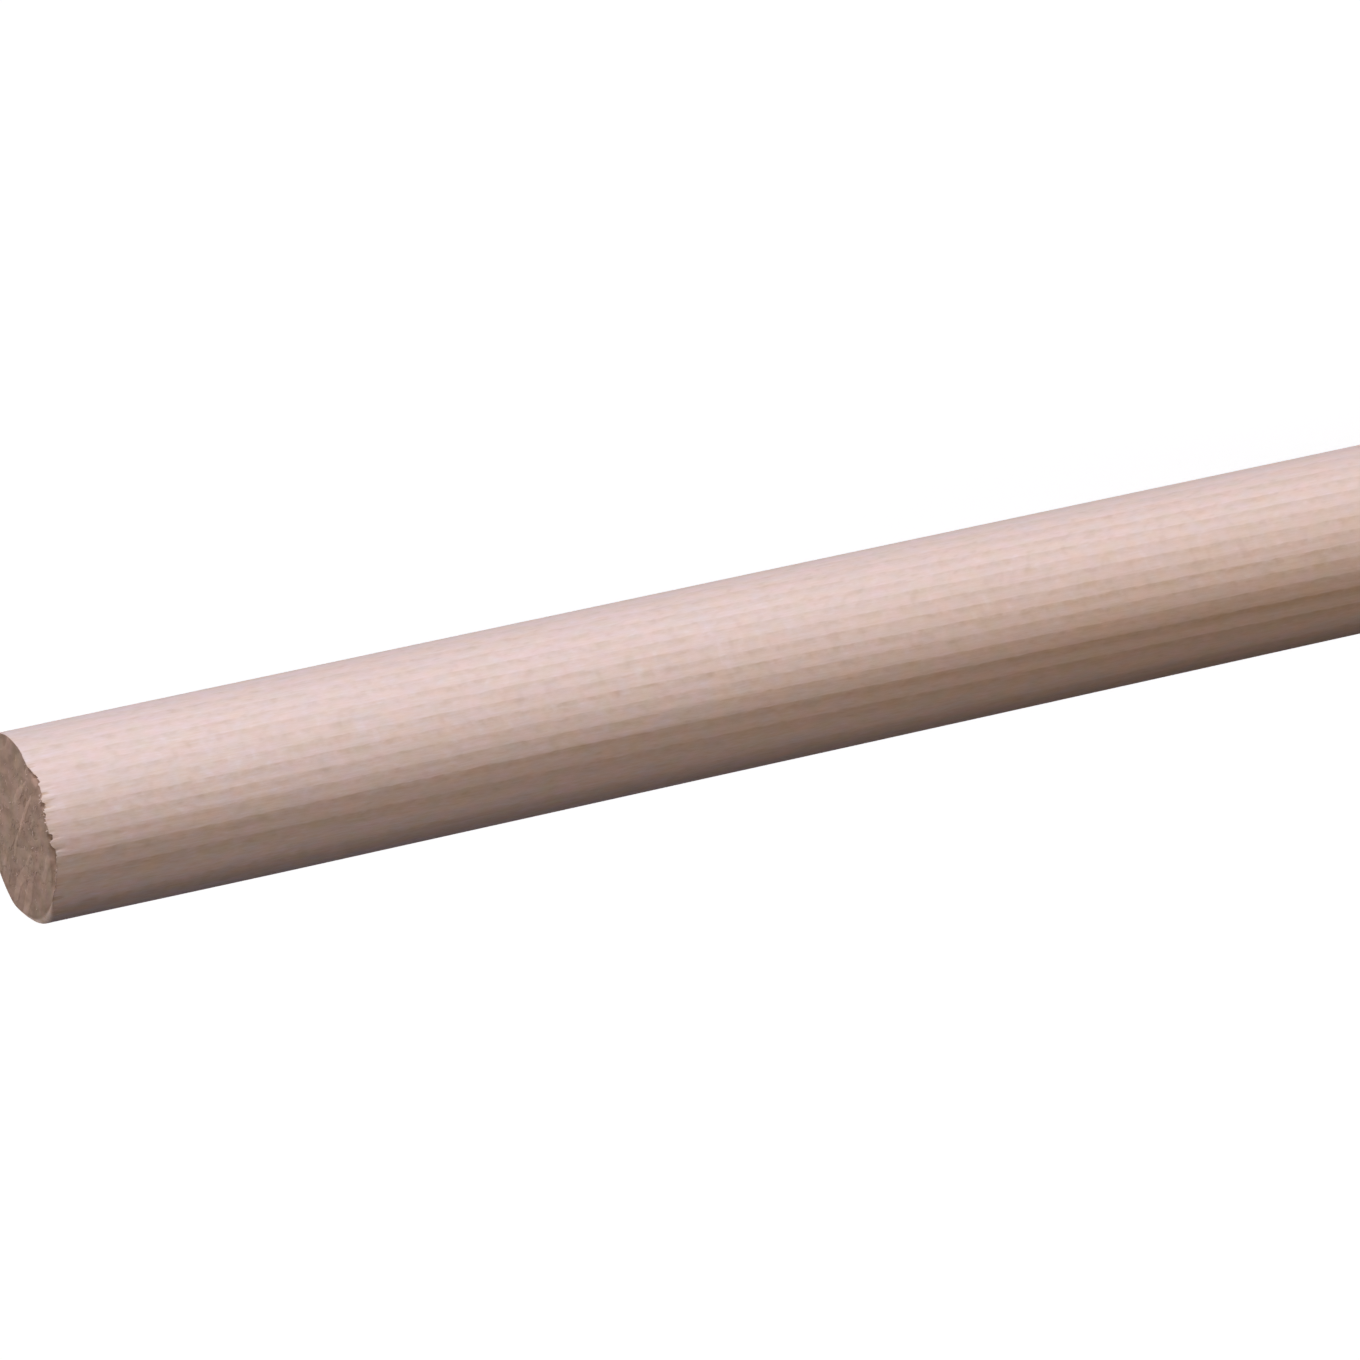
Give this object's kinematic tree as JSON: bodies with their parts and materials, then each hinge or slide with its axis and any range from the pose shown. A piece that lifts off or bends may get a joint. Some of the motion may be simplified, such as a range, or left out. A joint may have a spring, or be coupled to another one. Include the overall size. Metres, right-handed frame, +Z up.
{
  "type": "dowel rod",
  "caption": "Straight round rod of solid pale beech, with square rough-sawn ends and slightly blunted rims.",
  "frame": {"origin": "centre of the lower sawn end, on the surface that the rod stands on", "axes": "+Z up along the rod's axis to the other sawn end; X and Y are across the round section"},
  "size_m": [0.025, 0.025, 0.3],
  "materials": {
    "beech": "matte"
  },
  "bodies": {
    "root": {"dowel_rod": "beech"}
  },
  "joints": []
}
